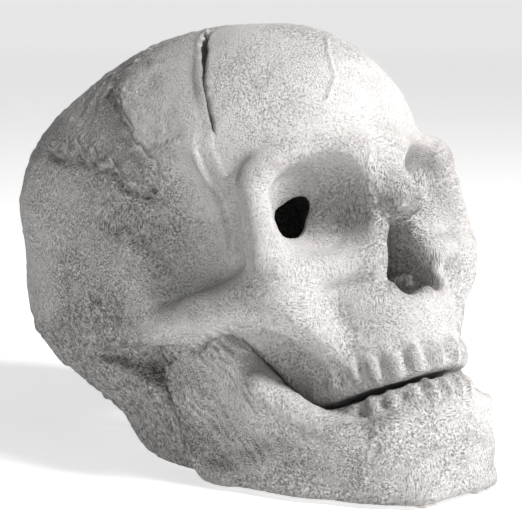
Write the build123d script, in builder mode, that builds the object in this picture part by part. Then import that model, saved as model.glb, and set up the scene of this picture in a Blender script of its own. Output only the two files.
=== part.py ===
"""Bubbling ornament: a hollow cast skull that stands over an air stone.

Frame: millimetres, +Z up, the face looks towards -Y and +X is the skull's own left side.
The origin is in the middle of the footprint, on the surface that the ornament stands on.

Bone sizes are given in the head's own frame, which leans back: (side, forward, up) from the
middle of the line between the ears, with "up" square to the plane through ears and eyes.
The air line's sizes are given along the flow, from the outside of the tray's rear wall.
"""

import os
from math import cos, radians, sin

from build123d import *

# ---------------------------------------------------------------- driving dimensions, castings
LEAN = 25  # lays the lower edge of the jaw flat: its usual angle to the ear-eye plane
EAR_HEIGHT = 56.5  # the ear line above the ground
EAR_SETBACK = 3.5  # the ear line behind the origin
WALL = 11  # of the casting
FIT = 0.6  # gap between the castings, filled with grout in use
RIM_HEIGHT = 1.5  # castings above the ground, on their pads
SKULL_LENGTH, SKULL_BREADTH = 184, 140
CASE_FORWARD, CASE_UP = -0.5, 48  # centre of the braincase
ORBIT_SIDE, ORBIT_UP = 32, 17
ORBIT_HOLE = 8  # radius of the hole from the orbit into the hollow head
BITE = -51.5  # height of the edge where the teeth meet
NECK_BACK = -12  # centre of the neck on the ground, behind the origin
NECK_SIDE, NECK_LENGTH = 49, 67  # half width and half length of its rim
NECK_TOP = 66
NECK_SWELL = ((0, 0, 0), (0.5, 9, 16), (1, 11, 22))  # share of the height, wider by, further back by
SLIT_WIDTH = 2.6  # of the open crack in the crown
SLIT_LENGTH, SLIT_DEPTH = 34, 76
SLIT_SIDE, SLIT_FORWARD, SLIT_TOP = -37, 53.5, 130  # its middle, and where its cut starts from above
SLIT_SLANT = 0.7  # it runs forward as it goes down the side of the head
NOTCH_WIDTH, NOTCH_HEIGHT, NOTCH_CORNER = 46, 30, 14  # the opening at the back for hose and fingers
NOTCH_OUTSIDE, NOTCH_INSIDE = 100, 32  # it is cut forward, from behind the neck into its hollow
DOWEL_RADIUS = 3
PAD_RADIUS, PAD_SINK = 4.5, 1.0

# ---------------------------------------------------------------- driving dimensions, air unit
TRAY_BACK = -6  # centre of the tray, behind the origin
TRAY_WIDTH, TRAY_LENGTH, TRAY_CORNER = 56, 74, 14
TRAY_BOTTOM, TRAY_RIM = 3, 24
TRAY_WALL, TRAY_FLOOR = 4, 2.5
SEAL = 0.8
COVER = 3.2
SCREW_SIDE, SCREW_LENGTH = 19.3, 28.3  # from the tray's centre
SCREW_RADIUS = 1.5
PIPE_HEIGHT = 16
PIPE_SIDE = 9.5  # the check valve on -X, the tap on +X
HOSE_RADIUS, HOSE_BORE = 3, 2
PORT = 1.2  # bore radius of the fittings
BODY_RADIUS = 5  # of the check valve and of the tap
BODY_END, STUB_END = 30, 38  # where the fittings' bodies and their hose stubs end
STEM_RADIUS, STEM_PLAY = 2.5, 0.05
RISER_RADIUS = 4
RISER_ALONG = 14  # the riser's distance from the rear wall's outside
RISER_TOP = 66
STONE_RADIUS, STONE_HEIGHT = 9, 30

# ---------------------------------------------------------------- frames
UP = Vector(0, sin(radians(LEAN)), cos(radians(LEAN)))
FORWARD = Vector(0, -cos(radians(LEAN)), sin(radians(LEAN)))
EAR = Vector(0, EAR_SETBACK, EAR_HEIGHT)
PROFILE = Plane(EAR, x_dir=FORWARD, z_dir=(-1, 0, 0))  # sketch X forward, Y up the head
REAR_WALL = TRAY_BACK + TRAY_LENGTH / 2
COVER_TOP = TRAY_RIM + SEAL + COVER
TRAY = Plane((0, TRAY_BACK, 0))
RISER = Plane((0, REAR_WALL - RISER_ALONG, 0))


def at_head(side, forward, up):
    """A point of the head's frame as a place in the part's frame."""
    return EAR + Vector(side, 0, 0) + FORWARD * forward + UP * up


def level(forward, up):
    """A plane square to the head's up direction; sketch Y runs backward."""
    return Plane(at_head(0, forward, up), x_dir=(1, 0, 0), z_dir=UP)


def facing(side, forward, up):
    """A plane that faces forward; sketch Y runs up the head."""
    return Plane(at_head(side, forward, up), x_dir=(1, 0, 0), z_dir=FORWARD)


def flow(side, along=0):
    """A plane across an air line that runs forward from the tray's rear wall."""
    return Plane((side, REAR_WALL - along, PIPE_HEIGHT), x_dir=(1, 0, 0), z_dir=(0, -1, 0))


def finish(piece, name):
    """Label a finished piece and write it."""
    piece.part.label = name
    export_step(piece.part, f"parts/{name}.step")


os.makedirs("parts", exist_ok=True)


# ---------------------------------------------------------------- shapes used more than once
def egg(half_length, radius, side, forward, up, axis=FORWARD):
    """A round egg: half an ellipse turned about its long axis."""
    centre = at_head(side, forward, up)
    with BuildPart(mode=Mode.PRIVATE) as shape:
        with BuildSketch(Plane(centre, x_dir=axis, z_dir=(-1, 0, 0))):
            with BuildLine():
                EllipticalCenterArc((0, 0), half_length, radius, arc_size=90)
                EllipticalCenterArc((0, 0), half_length, radius, start_angle=90, arc_size=90)
                Line((-half_length, 0), (half_length, 0))
            make_face()
        revolve(axis=Axis(centre, axis))
    return shape.part


def on_side(hand, size, place, axis=FORWARD):
    """An egg on the left (1) or the right (-1) of the head."""
    side, forward, up = place
    return egg(*size, hand * side, forward, up, axis=axis)


def stack(sections, ruled=False):
    """A loft through ellipses, each given by its plane, half width and half length."""
    with BuildPart(mode=Mode.PRIVATE) as shape:
        for plane, half_width, half_length in sections:
            with BuildSketch(plane):
                Ellipse(half_width, half_length)
        loft(ruled=ruled)
    return shape.part


def turned(plane, *outline):
    """A piece turned about the plane's own axis, from (radius, distance along) corners."""
    with BuildPart(mode=Mode.PRIVATE) as shape:
        with BuildSketch(Plane(plane.origin, x_dir=plane.x_dir, z_dir=-plane.y_dir)):
            with BuildLine():
                Polyline(*outline, close=True)
            make_face()
        revolve(axis=Axis(plane.origin, plane.z_dir))
    return shape.part


def neck(inset, low):
    """The solid, or the hollow, between the ground and the braincase; it flares up and back."""
    return stack(
        (
            Plane((0, NECK_BACK + back, low + share * (NECK_TOP - low))),
            NECK_SIDE - inset + wider,
            NECK_LENGTH - inset + wider,
        )
        for share, wider, back in NECK_SWELL
    )


# ---------------------------------------------------------------- lower jaw, as a blank
JAW_SIDE = (  # forward and up: chin, teeth, front of the ramus, its two horns, angle of the jaw
    (78, -100), (87, -89), (84, -70), (91, -53), (44, -53), (38, -30), (36, -8),
    (24, -15), (12, -7), (4, -11), (1, -35), (6, -66),
)
JAW_OUTSIDE = ((0, 117), (20, 113), (36, 95), (47, 65), (54, 30), (57, 5))  # side, from the ear
JAW_INSIDE = ((0, 103), (14, 98), (25, 82), (35, 60), (43, 30), (46, 5))
JAW_BLANK_HEIGHT, JAW_BLANK_HALF_WIDTH = 80, 62
JAW_CORNER = 2.5  # radius of the corners in the side view


def plan_curve(points, grow):
    """A curve from ear to ear round the front of the jaw, moved out by grow."""
    left = [(side + grow, -forward - grow) for side, forward in points[1:]]
    right = [(-side, back) for side, back in reversed(left)]
    return Spline(*right, (0, -points[0][1] - grow), *left)


def jaw_blank(grow):
    """The jaw as its side view and its plan cut it out, or its bed when grown by the fit."""
    with BuildPart(mode=Mode.PRIVATE) as blank:
        with BuildSketch(PROFILE):
            with BuildLine():
                Polyline(*JAW_SIDE, close=True)
            make_face()
            fillet(vertices(), JAW_CORNER)
            if grow:
                offset(amount=grow)
        extrude(amount=JAW_BLANK_HALF_WIDTH, both=True)
        with BuildSketch(Plane((0, EAR_SETBACK, RIM_HEIGHT - grow))):
            with BuildLine():
                outer = plan_curve(JAW_OUTSIDE, grow)
                inner = plan_curve(JAW_INSIDE, -grow)
                Line(outer @ 0, inner @ 0)
                Line(outer @ 1, inner @ 1)
            make_face()
        extrude(amount=JAW_BLANK_HEIGHT, mode=Mode.INTERSECT)
    return blank.part


# ---------------------------------------------------------------- dowels between the castings
DOWEL_FORWARD, DOWEL_UP = 24, 33  # from the ear, above the ground
DOWEL_INNER, DOWEL_LENGTH = 43, 12
DOWEL_BORE = 21  # the bore runs out through the side of the jaw
DOWEL_CHAMFER = 0.5


def dowel_plane(hand, side):
    """A plane across a dowel's line, on the left (1) or right (-1)."""
    place = (hand * side, EAR_SETBACK - DOWEL_FORWARD, DOWEL_UP)
    return Plane(place, x_dir=(0, hand, 0), z_dir=(hand, 0, 0))


def dowel_bore(hand):
    """The bore for a dowel, as a solid to cut with."""
    outline = ((0, 0), (DOWEL_RADIUS, 0), (DOWEL_RADIUS, DOWEL_BORE), (0, DOWEL_BORE))
    return turned(dowel_plane(hand, DOWEL_INNER), *outline)


# ---------------------------------------------------------------- pads under the castings
PAD_PLACES = {"neck_pad": (33, 27.5), "chin_pad": (14, -104)}
PAD_CHAMFER = 0.4
HANDS = {"left": 1, "right": -1}


def pad_plane(place, hand):
    """The ground under one pad."""
    return Plane((hand * place[0], place[1], 0))


# ---------------------------------------------------------------- cranium casting
CHEEKBONE, CHEEKBONE_PLACE = (20, 14), (35, 62, -10)  # half length and radius; side, forward, up
MASTOID, MASTOID_PLACE = (17, 9), (44, -8, -14)
TEMPLE, TEMPLE_PLACE = (26, 11), (64, 52, 18)
NOSE_BONE_START, NOSE_BONE_END = 60, 94  # forward
NOSE_BONE_WIDTH, NOSE_BONE_HEIGHT, NOSE_BONE_SLOPE, NOSE_BONE_TAPER = 22, 34, 80, 6
NOSE_EDGE = ((0, 9), (6, 3), (12.5, -13), (9, -21), (0, -22.5))  # side and up, half of the pear
NOSE_OPENING_START, NOSE_OPENING_DEPTH = 104, 84
FACE_MIDDLE = 38
FACE_SECTIONS = (  # height, half width and front of each level of the face
    (62, 44, 84), (46, 51, 94), (34, 52, 95), (22, 51, 90), (4, 52, 91),
    (-10, 48, 91), (-24, 35, 91), (BITE, 30, 94.5),
)


ARCH_ROUTE = ((29, 64, -12), (54, 42, -6), (50, 0, -1))  # side, forward, up
ARCH_SECTIONS = ((0, 14, 9), (0.45, 8.5, 10), (1, 7, 9))  # share of the route, half height, half thickness
ORBIT_SECTIONS = (  # forward, shift to the side, shift up, half width, half height
    (106, 2, 0, 23, 21),
    (86, 0, 0, 19.5, 17.5),
    (62, -5, 1, 10.5, 10.5),
    (42, -9, 2, ORBIT_HOLE, ORBIT_HOLE),
)


def cheek_arch(hand):
    """The bar from the cheekbone back to the ear."""
    route = (at_head(hand * side, forward, up) for side, forward, up in ARCH_ROUTE)
    run = Spline(*route, mode=Mode.PRIVATE)
    return stack(
        (Plane(run @ share, x_dir=UP, z_dir=run % share), height, thickness)
        for share, height, thickness in ARCH_SECTIONS
    )


def orbit(hand):
    """One eye socket, from in front of the brow to its small hole into the hollow head."""
    return stack(
        (facing(hand * (ORBIT_SIDE + aside), forward, ORBIT_UP + raised), half_width, half_height)
        for forward, aside, raised, half_width, half_height in ORBIT_SECTIONS
    )


with BuildPart() as cranium_shell:
    add(egg(SKULL_LENGTH / 2, SKULL_BREADTH / 2, 0, CASE_FORWARD, CASE_UP))
    face = ((level(FACE_MIDDLE, up), half, front - FACE_MIDDLE) for up, half, front in FACE_SECTIONS)
    add(stack(face, ruled=True))
    for hand in HANDS.values():
        add(cheek_arch(hand))
        add(on_side(hand, CHEEKBONE, CHEEKBONE_PLACE))
        add(on_side(hand, MASTOID, MASTOID_PLACE, axis=UP))
    add(neck(0, RIM_HEIGHT))
    with BuildSketch(facing(0, NOSE_BONE_START, 0)):
        Trapezoid(NOSE_BONE_WIDTH, NOSE_BONE_HEIGHT, NOSE_BONE_SLOPE, align=(Align.CENTER, Align.MIN))
    extrude(amount=NOSE_BONE_END - NOSE_BONE_START, taper=NOSE_BONE_TAPER)
    # the hollow head, open to the ground
    add(egg(SKULL_LENGTH / 2 - WALL, SKULL_BREADTH / 2 - WALL, 0, CASE_FORWARD, CASE_UP), mode=Mode.SUBTRACT)
    add(neck(WALL, -1), mode=Mode.SUBTRACT)
    for hand in HANDS.values():
        add(orbit(hand), mode=Mode.SUBTRACT)
        add(on_side(hand, TEMPLE, TEMPLE_PLACE), mode=Mode.SUBTRACT)
    # nasal opening, through to the hollow
    with BuildSketch(facing(0, NOSE_OPENING_START, 0)):
        with BuildLine():
            edge = Spline(*NOSE_EDGE)
            Line(edge @ 1, edge @ 0)
        make_face()
        mirror(about=Plane.YZ)
    extrude(amount=-NOSE_OPENING_DEPTH, mode=Mode.SUBTRACT)
    # open crack across the crown, on the right
    along = Vector(1, 0, 0) - FORWARD * SLIT_SLANT
    with BuildSketch(Plane(at_head(SLIT_SIDE, SLIT_FORWARD, SLIT_TOP), x_dir=along, z_dir=UP)):
        Rectangle(SLIT_LENGTH, SLIT_WIDTH)
    extrude(amount=-SLIT_DEPTH, mode=Mode.SUBTRACT)
    # opening at the back of the neck
    with BuildSketch(Plane((0, NOTCH_OUTSIDE, 0), x_dir=(1, 0, 0), z_dir=(0, -1, 0))):
        Rectangle(NOTCH_WIDTH, 2 * NOTCH_HEIGHT)
        fillet(vertices(), NOTCH_CORNER)
    extrude(amount=NOTCH_OUTSIDE - NOTCH_INSIDE, mode=Mode.SUBTRACT)
    # bed of the lower jaw and bores of its dowels
    add(jaw_blank(FIT), mode=Mode.SUBTRACT)
    for hand in HANDS.values():
        add(dowel_bore(hand), mode=Mode.SUBTRACT)
        with BuildSketch(pad_plane(PAD_PLACES["neck_pad"], hand)):
            Circle(PAD_RADIUS)
        extrude(amount=RIM_HEIGHT + PAD_SINK, mode=Mode.SUBTRACT)
finish(cranium_shell, "cranium_shell")

with BuildPart() as lower_jaw:
    add(jaw_blank(0))
    for hand in HANDS.values():
        add(dowel_bore(hand), mode=Mode.SUBTRACT)
        with BuildSketch(pad_plane(PAD_PLACES["chin_pad"], hand)):
            Circle(PAD_RADIUS)
        extrude(amount=RIM_HEIGHT + PAD_SINK, mode=Mode.SUBTRACT)
finish(lower_jaw, "lower_jaw")

# ---------------------------------------------------------------- what joins and carries them
for name, hand in HANDS.items():
    with BuildPart() as jaw_dowel:
        add(turned(dowel_plane(hand, DOWEL_INNER), (0, 0), (DOWEL_RADIUS, 0),
                   (DOWEL_RADIUS, DOWEL_LENGTH), (0, DOWEL_LENGTH)))
        chamfer(jaw_dowel.edges(), DOWEL_CHAMFER)
    finish(jaw_dowel, f"jaw_dowel_{name}")
    for kind, place in PAD_PLACES.items():
        with BuildPart() as pad:
            with BuildSketch(pad_plane(place, hand)):
                Circle(PAD_RADIUS)
            extrude(amount=RIM_HEIGHT + PAD_SINK)
            chamfer(pad.edges().sort_by(Axis.Z)[0], PAD_CHAMFER)
        finish(pad, f"{kind}_{name}")

# ---------------------------------------------------------------- tray
BOSS_RADIUS = 4.2
SCREW_BORE = 14
TRAY_ROUND = 1.5
FOOT_RADIUS, FOOT_SINK, FOOT_CHAMFER = 4, 1, 0.5
INLET_SHANK = 3.5
TAP_NECK = 4
GROMMET_NECK = 5.2


def corner_places():
    """The four corner positions in the tray."""
    return GridLocations(2 * SCREW_SIDE, 2 * SCREW_LENGTH, 2, 2)


with BuildPart() as base_tray:
    with BuildSketch(TRAY.offset(TRAY_BOTTOM)):
        RectangleRounded(TRAY_WIDTH, TRAY_LENGTH, TRAY_CORNER)
    extrude(amount=TRAY_RIM - TRAY_BOTTOM)
    fillet(base_tray.faces().sort_by(Axis.Z)[0].edges(), TRAY_ROUND)
    with BuildSketch(TRAY.offset(TRAY_BOTTOM + TRAY_FLOOR)):
        RectangleRounded(TRAY_WIDTH - 2 * TRAY_WALL, TRAY_LENGTH - 2 * TRAY_WALL, TRAY_CORNER - TRAY_WALL)
    extrude(amount=TRAY_RIM, mode=Mode.SUBTRACT)
    with BuildSketch(TRAY.offset(TRAY_BOTTOM + TRAY_FLOOR)):
        with corner_places():
            Circle(BOSS_RADIUS)
    extrude(amount=TRAY_RIM - TRAY_BOTTOM - TRAY_FLOOR)
    with BuildSketch(TRAY.offset(TRAY_RIM)):
        with corner_places():
            Circle(SCREW_RADIUS)
    extrude(amount=-SCREW_BORE, mode=Mode.SUBTRACT)
    with BuildSketch(TRAY.offset(TRAY_BOTTOM)):
        with corner_places():
            Circle(FOOT_RADIUS)
    extrude(amount=FOOT_SINK, mode=Mode.SUBTRACT)
    for side, radius in ((-PIPE_SIDE, INLET_SHANK), (PIPE_SIDE, TAP_NECK)):
        with BuildSketch(flow(side, -1)):
            Circle(radius)
        extrude(amount=TRAY_WALL + 2, mode=Mode.SUBTRACT)
finish(base_tray, "base_tray")

for index, place in enumerate(corner_places().locations, start=1):
    x, y = place.position.X, place.position.Y
    with BuildPart() as foot:
        with BuildSketch(TRAY):
            with Locations((x, y)):
                Circle(FOOT_RADIUS)
        extrude(amount=TRAY_BOTTOM + FOOT_SINK)
        chamfer(foot.edges().sort_by(Axis.Z)[0], FOOT_CHAMFER)
    finish(foot, f"tray_foot_{index}")

BALLAST, BALLAST_SIZE, BALLAST_CORNER, BALLAST_CHAMFER = 4, 44, 3, 0.5
RISER_GAP = 0.5  # between the riser and the ballast
with BuildPart() as ballast_plate:
    with BuildSketch(TRAY.offset(TRAY_BOTTOM + TRAY_FLOOR)):
        RectangleRounded(BALLAST_SIZE, BALLAST_SIZE, BALLAST_CORNER)
        with Locations((0, RISER.origin.Y - TRAY_BACK)):
            Circle(RISER_RADIUS + RISER_GAP, mode=Mode.SUBTRACT)
    extrude(amount=BALLAST)
    chamfer(ballast_plate.faces().sort_by(Axis.Z)[-1].edges(), BALLAST_CHAMFER)
finish(ballast_plate, "ballast_plate")

with BuildPart() as cover_seal:
    with BuildSketch(TRAY.offset(TRAY_RIM)):
        RectangleRounded(TRAY_WIDTH, TRAY_LENGTH, TRAY_CORNER)
        RectangleRounded(TRAY_WIDTH - 2 * TRAY_WALL, TRAY_LENGTH - 2 * TRAY_WALL,
                         TRAY_CORNER - TRAY_WALL, mode=Mode.SUBTRACT)
        with corner_places():
            Circle(BOSS_RADIUS)
        with corner_places():
            Circle(SCREW_RADIUS, mode=Mode.SUBTRACT)
    extrude(amount=SEAL)
finish(cover_seal, "cover_seal")

COVER_ROUND = 1.2
SCREW_HEAD, HEAD_HEIGHT, HEAD_EDGE = 2.8, 2, 0.6
SCREW_REACH, SCREW_POINT = 12, 0.5
KEY_RADIUS, KEY_DEPTH = 1.5, 1.2
with BuildPart() as tray_cover:
    with BuildSketch(TRAY.offset(TRAY_RIM + SEAL)):
        RectangleRounded(TRAY_WIDTH, TRAY_LENGTH, TRAY_CORNER)
        with Locations((0, RISER.origin.Y - TRAY_BACK)):
            Circle(GROMMET_NECK, mode=Mode.SUBTRACT)
    extrude(amount=COVER)
    fillet(tray_cover.faces().sort_by(Axis.Z)[-1].outer_wire().edges(), COVER_ROUND)
    with BuildSketch(TRAY.offset(COVER_TOP)):
        with corner_places():
            Circle(SCREW_RADIUS)
    extrude(amount=-COVER, mode=Mode.SUBTRACT)
    with BuildSketch(TRAY.offset(COVER_TOP)):
        with corner_places():
            Circle(SCREW_HEAD)
    extrude(amount=-HEAD_HEIGHT, mode=Mode.SUBTRACT)
finish(tray_cover, "tray_cover")

for index, place in enumerate(corner_places().locations, start=1):
    spot = Plane((place.position.X, TRAY_BACK + place.position.Y, COVER_TOP - HEAD_HEIGHT))
    with BuildPart() as screw:
        add(turned(
            spot, (0, -SCREW_REACH), (SCREW_RADIUS - SCREW_POINT, -SCREW_REACH),
            (SCREW_RADIUS, -SCREW_REACH + SCREW_POINT), (SCREW_RADIUS, 0), (SCREW_HEAD, 0),
            (SCREW_HEAD, HEAD_HEIGHT - HEAD_EDGE), (SCREW_HEAD - HEAD_EDGE, HEAD_HEIGHT), (0, HEAD_HEIGHT),
        ))
        with BuildSketch(spot.offset(HEAD_HEIGHT)):
            RegularPolygon(KEY_RADIUS, 6)
        extrude(amount=-KEY_DEPTH, mode=Mode.SUBTRACT)
    finish(screw, f"cover_screw_{index}")

# ---------------------------------------------------------------- air inlet, in the rear wall
FLANGE_RADIUS = 5.5
WASHER = 1
NUT_WIDTH, NUT = 10, 3
SPIGOT_RADIUS, SPIGOT_END = 2.5, 13
SPIGOT_REACH = 15  # behind the wall, for the pump's hose
INLET = flow(-PIPE_SIDE)
TAP = flow(PIPE_SIDE)

with BuildPart() as inlet_spigot:
    add(turned(
        INLET, (PORT, -SPIGOT_REACH), (SPIGOT_RADIUS - 0.5, -SPIGOT_REACH),
        (SPIGOT_RADIUS, -SPIGOT_REACH + 0.5), (SPIGOT_RADIUS, -3), (FLANGE_RADIUS, -3),
        (FLANGE_RADIUS, -WASHER), (INLET_SHANK, -WASHER), (INLET_SHANK, 8), (SPIGOT_RADIUS, 8),
        (SPIGOT_RADIUS, SPIGOT_END), (PORT, SPIGOT_END),
    ))
finish(inlet_spigot, "inlet_spigot")

with BuildPart() as inlet_washer:
    add(turned(INLET, (INLET_SHANK, -WASHER), (FLANGE_RADIUS, -WASHER), (FLANGE_RADIUS, 0), (INLET_SHANK, 0)))
finish(inlet_washer, "inlet_washer")


def panel_nut(plane, radius):
    """A thin hexagon nut standing on a plane."""
    with BuildPart(mode=Mode.PRIVATE) as nut:
        with BuildSketch(plane):
            RegularPolygon(NUT_WIDTH / 2, 6, major_radius=False, rotation=30)
            Circle(radius, mode=Mode.SUBTRACT)
        extrude(amount=NUT)
        chamfer(nut.faces().sort_by(Axis(plane.origin, plane.z_dir))[-1].outer_wire().edges(), 0.4)
    return nut.part


with BuildPart() as inlet_nut:
    add(panel_nut(flow(-PIPE_SIDE, TRAY_WALL), INLET_SHANK))
finish(inlet_nut, "inlet_nut")

# ---------------------------------------------------------------- check valve
VALVE_START, VALVE_SPLIT = 8, 20
SEAT, CHAMBER_RADIUS = 18, 3.9
DISC_RADIUS, DISC = 3.4, 1.1

with BuildPart() as check_valve_inlet:
    add(turned(
        INLET, (SPIGOT_RADIUS, VALVE_START), (BODY_RADIUS - 1, VALVE_START), (BODY_RADIUS, VALVE_START + 1),
        (BODY_RADIUS, VALVE_SPLIT), (CHAMBER_RADIUS, VALVE_SPLIT), (CHAMBER_RADIUS, SEAT), (PORT, SEAT),
        (PORT, SPIGOT_END), (SPIGOT_RADIUS, SPIGOT_END),
    ))
finish(check_valve_inlet, "check_valve_inlet")

with BuildPart() as check_disc:
    add(turned(INLET, (0, SEAT), (DISC_RADIUS, SEAT), (DISC_RADIUS, SEAT + DISC), (0, SEAT + DISC)))
finish(check_disc, "check_disc")

with BuildPart() as check_valve_outlet:
    add(turned(
        INLET, (PORT, VALVE_SPLIT), (BODY_RADIUS, VALVE_SPLIT), (BODY_RADIUS, BODY_END - 1),
        (BODY_RADIUS - 1, BODY_END), (HOSE_BORE, BODY_END), (HOSE_BORE, STUB_END), (PORT, STUB_END),
    ))
    with BuildSketch(flow(-PIPE_SIDE, VALVE_SPLIT)):
        with PolarLocations(0, 2):
            Rectangle(2 * CHAMBER_RADIUS, 1.6)
        Rectangle(1.6, 2 * CHAMBER_RADIUS)
    extrude(amount=1.5, mode=Mode.SUBTRACT)
finish(check_valve_outlet, "check_valve_outlet")

# ---------------------------------------------------------------- hose from check valve to tap
with BuildPart() as air_hose:
    with BuildLine():
        start = (-PIPE_SIDE, REAR_WALL - BODY_END, PIPE_HEIGHT)
        bend_start = (-PIPE_SIDE, REAR_WALL - STUB_END - 2, PIPE_HEIGHT)
        bend_middle = (0, REAR_WALL - STUB_END - 2 - PIPE_SIDE, PIPE_HEIGHT)
        bend_end = (PIPE_SIDE, REAR_WALL - STUB_END - 2, PIPE_HEIGHT)
        Line(start, bend_start)
        ThreePointArc(bend_start, bend_middle, bend_end)
        Line(bend_end, (PIPE_SIDE, REAR_WALL - BODY_END, PIPE_HEIGHT))
    with BuildSketch(flow(-PIPE_SIDE, BODY_END)):
        Circle(HOSE_RADIUS)
        Circle(HOSE_BORE, mode=Mode.SUBTRACT)
    sweep()
finish(air_hose, "air_hose")

# ---------------------------------------------------------------- tap
STEM_TIP, STEM_PORT = 18, 14
TAP_NUT = 3
SIDE_SPIGOT = 1.8
SIDE_REACH = 3  # the side spigot's end, from the middle of the tray

with BuildPart() as valve_body:
    bore = STEM_RADIUS + STEM_PLAY
    add(turned(
        TAP, (bore, -TAP_NUT), (TAP_NECK, -TAP_NUT), (TAP_NECK, TRAY_WALL), (BODY_RADIUS, TRAY_WALL),
        (BODY_RADIUS, BODY_END - 1), (BODY_RADIUS - 1, BODY_END), (HOSE_BORE, BODY_END),
        (HOSE_BORE, STUB_END), (PORT, STUB_END), (PORT, STEM_TIP + 0.3), (bore, STEM_TIP + 0.3),
    ))
    side_port = Plane((PIPE_SIDE, REAR_WALL - STEM_PORT, PIPE_HEIGHT), x_dir=(0, 1, 0), z_dir=(-1, 0, 0))
    with BuildSketch(side_port.offset(BODY_RADIUS - 1)):
        Circle(SIDE_SPIGOT)
    extrude(amount=PIPE_SIDE - SIDE_REACH - BODY_RADIUS + 1)
    with BuildSketch(side_port.offset(STEM_RADIUS - 0.5)):
        Circle(PORT)
    extrude(amount=PIPE_SIDE, mode=Mode.SUBTRACT)
finish(valve_body, "valve_body")

with BuildPart() as valve_nut:
    add(panel_nut(flow(PIPE_SIDE, -TAP_NUT), TAP_NECK))
finish(valve_nut, "valve_nut")

KNOB_RADIUS, KNOB_START, KNOB = 7.5, -4, 9
RING_ALONG, RING_RADIUS = 8, 0.45

with BuildPart() as valve_stem:
    groove = STEM_RADIUS - 2 * RING_RADIUS
    add(turned(
        TAP, (0, KNOB_START - KNOB + 1.5), (STEM_RADIUS, KNOB_START - KNOB + 1.5),
        (STEM_RADIUS, RING_ALONG - 0.7), (groove, RING_ALONG - 0.7), (groove, RING_ALONG + 0.7),
        (STEM_RADIUS, RING_ALONG + 0.7), (STEM_RADIUS, STEM_TIP), (PORT, STEM_TIP),
        (PORT, STEM_PORT - 2), (0, STEM_PORT - 2),
    ))
    with BuildSketch(side_port):
        Circle(PORT)
    extrude(amount=STEM_RADIUS + 1, mode=Mode.SUBTRACT)
finish(valve_stem, "valve_stem")

with BuildPart() as stem_oring:
    ring_plane = Plane(flow(PIPE_SIDE, RING_ALONG).origin, x_dir=(1, 0, 0), z_dir=(0, 0, 1))
    with BuildSketch(ring_plane):
        with Locations((STEM_RADIUS - RING_RADIUS, 0)):
            Circle(RING_RADIUS)
    revolve(axis=Axis(TAP.origin, TAP.z_dir))
finish(stem_oring, "stem_oring")

with BuildPart() as valve_knob:
    with BuildSketch(flow(PIPE_SIDE, KNOB_START - KNOB)):
        Circle(KNOB_RADIUS)
        with PolarLocations(KNOB_RADIUS + 0.6, 12):
            Circle(1.2, mode=Mode.SUBTRACT)
    extrude(amount=KNOB)
    with BuildSketch(flow(PIPE_SIDE, KNOB_START)):
        Circle(STEM_RADIUS)
    extrude(amount=-KNOB + 1.5, mode=Mode.SUBTRACT)
    # pointer on the face of the knob
    with BuildSketch(flow(PIPE_SIDE, KNOB_START - KNOB)):
        with Locations((0, 3.5)):
            SlotCenterToCenter(4, 1.2, rotation=90)
    extrude(amount=-0.8)
finish(valve_knob, "valve_knob")

# ---------------------------------------------------------------- riser and air stone
RISER_FLOOR = TRAY_BOTTOM + TRAY_FLOOR
GROMMET_FLANGE = 7
CUP_RADIUS, CUP_BOTTOM, CUP_RIM = 11.5, 61, 70
NIPPLE_REACH, NIPPLE_PLAY = 10, 0.05

with BuildPart() as riser_tube:
    add(turned(
        RISER, (0, RISER_FLOOR), (RISER_RADIUS, RISER_FLOOR), (RISER_RADIUS, RISER_TOP),
        (HOSE_BORE, RISER_TOP), (HOSE_BORE, PIPE_HEIGHT - 3), (0, PIPE_HEIGHT - 3),
    ))
    with BuildSketch(side_port.offset(PIPE_SIDE - SIDE_REACH)):
        Circle(SIDE_SPIGOT)
    extrude(amount=-RISER_RADIUS, mode=Mode.SUBTRACT)
    with BuildSketch(side_port.offset(PIPE_SIDE)):
        Circle(PORT)
    extrude(amount=-RISER_RADIUS, mode=Mode.SUBTRACT)
finish(riser_tube, "riser_tube")

with BuildPart() as riser_grommet:
    under, over = TRAY_RIM + SEAL, COVER_TOP
    add(turned(
        RISER, (RISER_RADIUS, under - 1), (GROMMET_FLANGE, under - 1), (GROMMET_FLANGE, under),
        (GROMMET_NECK, under), (GROMMET_NECK, over), (GROMMET_FLANGE, over), (GROMMET_FLANGE - 1, over + 1.2),
        (RISER_RADIUS, over + 1.2),
    ))
finish(riser_grommet, "riser_grommet")

with BuildPart() as stone_cup:
    add(turned(
        RISER, (RISER_RADIUS, CUP_BOTTOM), (RISER_RADIUS + 2, CUP_BOTTOM), (CUP_RADIUS, RISER_TOP - 1),
        (CUP_RADIUS, CUP_RIM), (STONE_RADIUS + 0.4, CUP_RIM), (STONE_RADIUS + 0.4, RISER_TOP),
        (RISER_RADIUS, RISER_TOP),
    ))
finish(stone_cup, "stone_cup")

with BuildPart() as air_stone:
    with BuildSketch(RISER.offset(RISER_TOP)):
        Circle(STONE_RADIUS)
    extrude(amount=STONE_HEIGHT)
    fillet(air_stone.edges(), 2)
    with BuildSketch(RISER.offset(RISER_TOP)):
        Circle(HOSE_BORE)
    extrude(amount=6, mode=Mode.SUBTRACT)
finish(air_stone, "air_stone")

with BuildPart() as stone_nipple:
    shank = HOSE_BORE - NIPPLE_PLAY
    add(turned(
        RISER, (1, RISER_TOP - NIPPLE_REACH), (shank, RISER_TOP - NIPPLE_REACH), (shank, RISER_TOP),
        (HOSE_BORE, RISER_TOP), (HOSE_BORE, RISER_TOP + 6), (1, RISER_TOP + 6),
    ))
finish(stone_nipple, "stone_nipple")
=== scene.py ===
import math

import bpy
import numpy as np
import openvdb
from mathutils import Matrix, Vector


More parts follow.
